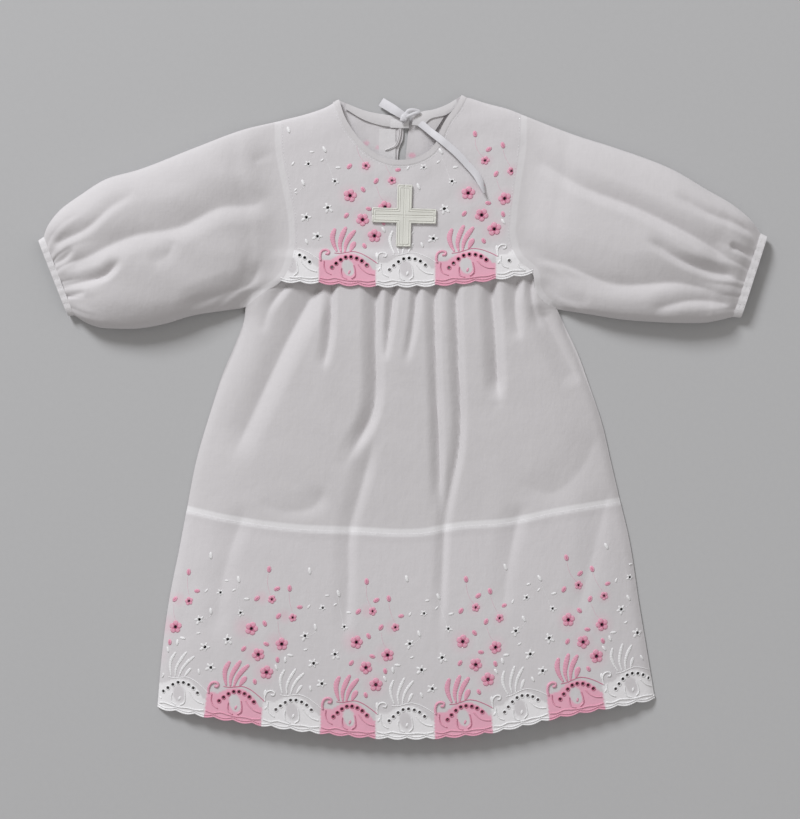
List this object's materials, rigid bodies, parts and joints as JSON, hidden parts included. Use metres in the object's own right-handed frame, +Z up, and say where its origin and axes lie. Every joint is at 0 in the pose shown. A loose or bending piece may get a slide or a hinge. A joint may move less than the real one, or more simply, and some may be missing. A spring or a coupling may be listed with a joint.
{
  "type": "baptismal shirt",
  "caption": "Infant's white batiste baptismal shirt laid flat on its back: long full sleeves, embroidered yoke and scalloped hem band, cross applique and ribbon tie at the back of the neck.",
  "frame": {"origin": "centre of the shirt's outline, on the surface that its back lies on", "axes": "+X towards the sleeve at the right of the picture, +Y towards the neck, +Z up out of the front of the shirt as it lies"},
  "size_m": [0.5117, 0.4528, 0.0226],
  "materials": {
    "batiste": "sheer matt cotton batiste",
    "embroidered_batiste": "batiste with pink and white eyelet embroidery",
    "cross_satin": "cream satin",
    "ribbon_satin": "white satin ribbon"
  },
  "bodies": {
    "root": {"front_skirt": "batiste", "back_skirt": "batiste", "front_hem_band": "embroidered_batiste", "back_hem_band": "embroidered_batiste", "front_yoke": "embroidered_batiste", "back_yoke_left": "embroidered_batiste", "back_yoke_right": "embroidered_batiste", "neck_casing_front": "batiste", "neck_casing_back_left": "batiste", "neck_casing_back_right": "batiste", "slit_facing": "batiste", "sleeve_left": "batiste", "sleeve_right": "batiste", "cuff_left": "batiste", "cuff_right": "batiste", "cross_applique": "cross_satin", "ribbon_tail_long": "ribbon_satin", "ribbon_tail_short": "ribbon_satin", "ribbon_bight": "ribbon_satin", "ribbon_knot": "ribbon_satin"}
  },
  "joints": []
}
